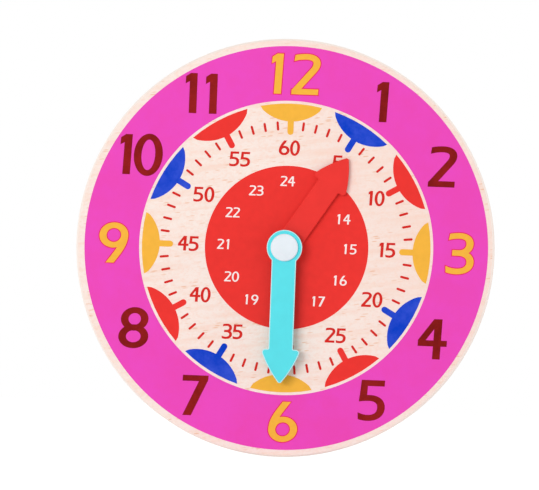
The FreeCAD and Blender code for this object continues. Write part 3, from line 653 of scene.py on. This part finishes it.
def ticks():
    """The minutes between the markers."""
    half = TICK_WIDTH / 2
    tick = bar((0.0, TICK_INNER + half), (0.0, TICK_OUTER - half), TICK_WIDTH, (True, True))
    return [turned_by(tick, math.radians(6 * minute)) for minute in range(60) if minute % 5]


# ---------------------------------------------------------------- layers of ink

# How far each layer stands above the dial, and how far it goes into the wood.
FIRST_LAYER, SECOND_LAYER, THIRD_LAYER = 0.05, 0.10, 0.13
INK_SUNK = 0.03
# How far the red under the yellow hours shows round them.
OVERPRINT_WIDTH = 0.45
# What a mitre is divided by at least while a shape grows, and the distance at which two points are one:
# along an outline, and in the union of shapes.
GROWN_MITRE = 0.7
DOUBLE_POINT, UNION_POINT = 1e-6, 1e-4


def wound(shape):
    """The shape as vectors, counter-clockwise."""
    points = [Vector(p) for p in shape]
    area = sum(a.x * b.y - b.x * a.y for a, b in zip(points, points[1:] + points[:1]))
    return points if area > 0 else points[::-1]


def grown(shape, width):
    """The shape with every side moved outwards by the width, and its corners mitred."""
    points = wound(shape)
    points = [p for k, p in enumerate(points) if (p - points[k - 1]).length > DOUBLE_POINT]
    moved = []
    for k, point in enumerate(points):
        before = (point - points[k - 1]).normalized()
        after = (points[(k + 1) % len(points)] - point).normalized()
        out_before, out_after = Vector((before.y, -before.x)), Vector((after.y, -after.x))
        bisector = out_before + out_after
        moved.append(point + bisector * (width / max(GROWN_MITRE, 1 + out_before.dot(out_after))))
    return moved


def ink(name, shapes, lift, material, centre=PRINT_CENTRE):
    """The union of flat shapes as one closed layer that stands lift millimetres above the dial."""
    points, faces = [], []
    for shape in shapes:
        corners = wound(shape)
        faces.append(list(range(len(points), len(points) + len(corners))))
        points += corners
    flat, _, triangles, _, _, sources = delaunay_2d_cdt(points, [], faces, 0, UNION_POINT)
    kept = [t for t, source in zip(triangles, sources) if source]
    used = sorted({i for t in kept for i in t})
    index = {old: new for new, old in enumerate(used)}
    kept = [[index[i] for i in t] for t in kept]
    count = len(used)
    verts = []
    for height in (lift, -INK_SUNK):
        for old in used:
            x, z = flat[old].x + centre[0], flat[old].y + centre[1]
            verts.append((x * PRINT_MM, DIAL_Y - height * MM, z * PRINT_MM))
    edges = {(t[k - 1], t[k]) for t in kept for k in range(3)}
    rim = sorted(e for e in edges if (e[1], e[0]) not in edges)
    polygons = [tuple(t) for t in kept] + [tuple(i + count for i in t[::-1]) for t in kept]
    polygons += [(a, a + count, b + count, b) for a, b in rim]
    mesh = bpy.data.meshes.new(name)
    mesh.from_pydata(verts, [], polygons)
    mesh.validate()
    mesh.materials.append(material)
    piece = bpy.data.objects.new(name, mesh)
    bpy.context.scene.collection.objects.link(piece)
    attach(piece, BOARD_BODY)


def print_dial():
    """The eleven layers of ink. The fringe is the red that shows round the yellow hours."""
    pink, yellow = print_ink("pink_ink", PINK_DEEP, PINK_THIN), print_ink("yellow_ink", YELLOW)
    red, blue = print_ink("red_ink", RED), print_ink("blue_ink", BLUE_DEEP, BLUE_THIN)
    maroon, white = print_ink("maroon_ink", MAROON_DEEP, MAROON_THIN), print_ink("white_ink", WHITE)
    fine_red, fringe = print_ink("fine_red_ink", FINE_RED), print_ink("overprint_ink", OVERPRINT)
    ink("ink_hour_ring", ring(RING_INNER, RING_OUTER), FIRST_LAYER, pink)
    eye = (-DAY_DISC_CENTRE[0], -DAY_DISC_CENTRE[1])
    ink("ink_day_disc", ring(BUSH_CLEARANCE, DISC_RADIUS, eye), FIRST_LAYER, red, DAY_DISC_CENTRE)
    colours = (("yellow", YELLOW_LOW, yellow), ("blue", BLUE_LOW, blue), ("red", RED_LOW, red))
    for first, (name, low, material) in enumerate(colours):
        shapes = [shape for hour in range(first, 12, 3) for shape in marker(hour, low)]
        ink("ink_markers_" + name, shapes, FIRST_LAYER, material)
    ink("ink_minute_ticks", ticks(), FIRST_LAYER, fine_red)
    minutes = small_numerals(MINUTE_PLACES, MINUTE_HEIGHT, MINUTE_NIB, MINUTE_ONE_GAP)
    ink("ink_minute_numerals", minutes, FIRST_LAYER, fine_red)
    quarters = hour_numerals(QUARTERS, QUARTER_NIB)
    wider = [grown(shape, OVERPRINT_WIDTH) for shape in quarters]
    ink("ink_quarter_overprint", wider, SECOND_LAYER, fringe)
    ink("ink_quarter_numerals", quarters, THIRD_LAYER, yellow)
    hours = hour_numerals([hour for hour in range(1, 12) if hour not in QUARTERS], HOUR_NIB)
    ink("ink_hour_numerals", hours, SECOND_LAYER, maroon)
    day = small_numerals(DAY_PLACES, DAY_HEIGHT, DAY_NIB, DAY_ONE_GAP)
    ink("ink_day_numerals", day, SECOND_LAYER, white, DAY_DISC_CENTRE)


print_dial()


# ---------------------------------------------------------------- floor, light and camera

FLOOR_SIZE, FLOOR_WHITE = 8.0, 0.92
# What the eye sees of the floor: a glow, and a share that takes the object's shadow.
FLOOR_GLOW, FLOOR_SHARE = 0.9, 0.35
# The sky's level, and each lamp: its azimuth and elevation in degrees, its width in metres and its level.
AMBIENT = 0.62
LAMPS = {"key": (-26, 8, 1.3, 0.365), "side": (82, 12, 0.8, 0.2), "back": (200, 15, 1.3, 0.26)}
LAMP_DISTANCE, LAMP_HEIGHT = 2.5, 0.5


def grey(level):
    """A linear grey."""
    return (level, level, level, 1)


def white_to_eye(tree, plain, bright):
    """plain for the light that falls on things, bright for what the eye, a gloss or a glass sees."""
    path = tree.nodes.new("ShaderNodeLightPath")
    either = path.outputs["Is Camera Ray"]
    for ray in ("Is Glossy Ray", "Is Transmission Ray"):
        larger = tree.nodes.new("ShaderNodeMath")
        larger.operation = "MAXIMUM"
        tree.links.new(either, larger.inputs[0])
        tree.links.new(path.outputs[ray], larger.inputs[1])
        either = larger.outputs[0]
    mixed = tree.nodes.new("ShaderNodeMixShader")
    tree.links.new(either, mixed.inputs[0])
    tree.links.new(plain, mixed.inputs[1])
    tree.links.new(bright, mixed.inputs[2])
    return mixed.outputs[0]


def make_floor():
    """A wide floor under the board, white to the eye but for the shadow on it."""
    mesh = bpy.data.meshes.new("floor")
    half = FLOOR_SIZE / 2
    corners = [(x, y, FLOOR_Z) for x, y in ((-half, -half), (half, -half), (half, half), (-half, half))]
    mesh.from_pydata(corners, [], [(0, 1, 2, 3)])
    material = bpy.data.materials.new("floor")
    material.use_nodes = True
    tree = material.node_tree
    tree.nodes.clear()
    plain = tree.nodes.new("ShaderNodeBsdfDiffuse")
    plain.inputs["Color"].default_value = grey(FLOOR_WHITE)
    shaded = tree.nodes.new("ShaderNodeBsdfDiffuse")
    shaded.inputs["Color"].default_value = grey(FLOOR_SHARE)
    glow = tree.nodes.new("ShaderNodeEmission")
    glow.inputs["Strength"].default_value = FLOOR_GLOW
    both = tree.nodes.new("ShaderNodeAddShader")
    tree.links.new(shaded.outputs[0], both.inputs[0])
    tree.links.new(glow.outputs[0], both.inputs[1])
    out = tree.nodes.new("ShaderNodeOutputMaterial")
    tree.links.new(white_to_eye(tree, plain.outputs[0], both.outputs[0]), out.inputs["Surface"])
    mesh.materials.append(material)
    floor = bpy.data.objects.new("floor", mesh)
    bpy.context.scene.collection.objects.link(floor)


def make_world():
    """An even sky that lights at its own level and is white to the eye."""
    world = bpy.data.worlds.new("studio")
    bpy.context.scene.world = world
    world.use_nodes = True
    tree = world.node_tree
    tree.nodes.clear()
    plain = tree.nodes.new("ShaderNodeBackground")
    plain.inputs["Strength"].default_value = AMBIENT
    bright = tree.nodes.new("ShaderNodeBackground")
    for background in (plain, bright):
        background.inputs["Color"].default_value = grey(1)
    out = tree.nodes.new("ShaderNodeOutputWorld")
    tree.links.new(white_to_eye(tree, plain.outputs[0], bright.outputs[0]), out.inputs["Surface"])


def aimed(thing, place, target):
    """Puts a thing at a place and points it at the target."""
    thing.location = place
    thing.rotation_mode = "QUATERNION"
    thing.rotation_quaternion = (Vector(target) - Vector(place)).to_track_quat("-Z", "Y")


def towards(azimuth, elevation):
    """The direction from the clock to a place seen at these angles in degrees. Azimuth 0 is in front of the
    dial and 90 at its right."""
    a, e = math.radians(azimuth), math.radians(elevation)
    return Vector((math.sin(a) * math.cos(e), -math.cos(a) * math.cos(e), math.sin(e)))


def soft_lamp(name, azimuth, elevation, width, level):
    """A soft lamp aimed at the dial. level is how bright it makes a white that faces it."""
    place = towards(azimuth, elevation) * LAMP_DISTANCE
    data = bpy.data.lights.new(name, "AREA")
    data.shape = "RECTANGLE"
    data.size, data.size_y = width, LAMP_HEIGHT
    data.energy = level * math.pi * math.pi * LAMP_DISTANCE ** 2
    lamp = bpy.data.objects.new(name, data)
    bpy.context.scene.collection.objects.link(lamp)
    aimed(lamp, place, (0, 0, 0))


# The sensor's width in millimetres, the picture's in pixels, and how much of the dial a pixel covers.
SENSOR, IMAGE_WIDTH = 36.0, 539
PIXEL = 0.4877 * MM
CLIP_START, CLIP_END = 0.05, 50
# The camera's distance in metres, and its angles in degrees.
CAMERA_DISTANCE, CAMERA_AZIMUTH, CAMERA_ELEVATION, CAMERA_ROLL = 4.0, 2.5, -0.8, 2.15
# How far the hands' axis is from the picture's middle, to the right and down, in pixels.
AXIS_RIGHT, AXIS_DOWN = 15.5, 2.83


def make_camera():
    """The view of the photograph: far off, a little from the right and below, with a slight roll."""
    azimuth, roll = math.radians(CAMERA_AZIMUTH), math.radians(CAMERA_ROLL)
    back = towards(CAMERA_AZIMUTH, CAMERA_ELEVATION)
    level_right = Vector((math.cos(azimuth), math.sin(azimuth), 0))
    level_up = back.cross(level_right)
    right = level_right * math.cos(roll) + level_up * math.sin(roll)
    up = level_up * math.cos(roll) - level_right * math.sin(roll)
    place = Vector((0, DIAL_Y, 0)) + back * CAMERA_DISTANCE
    place -= right * AXIS_RIGHT * PIXEL
    place += up * AXIS_DOWN * PIXEL
    data = bpy.data.cameras.new("camera")
    data.lens = CAMERA_DISTANCE * SENSOR / (PIXEL * IMAGE_WIDTH)
    data.sensor_width = SENSOR
    data.clip_start, data.clip_end = CLIP_START, CLIP_END
    camera = bpy.data.objects.new("camera", data)
    bpy.context.scene.collection.objects.link(camera)
    basis = Matrix((right, up, back)).transposed()
    camera.rotation_mode = "QUATERNION"
    camera.rotation_quaternion = basis.to_quaternion()
    camera.location = place
    bpy.context.scene.camera = camera


make_world()
make_floor()
for lamp_name, settings in LAMPS.items():
    soft_lamp(lamp_name, *settings)
make_camera()
bpy.context.scene.view_settings.view_transform = "Standard"
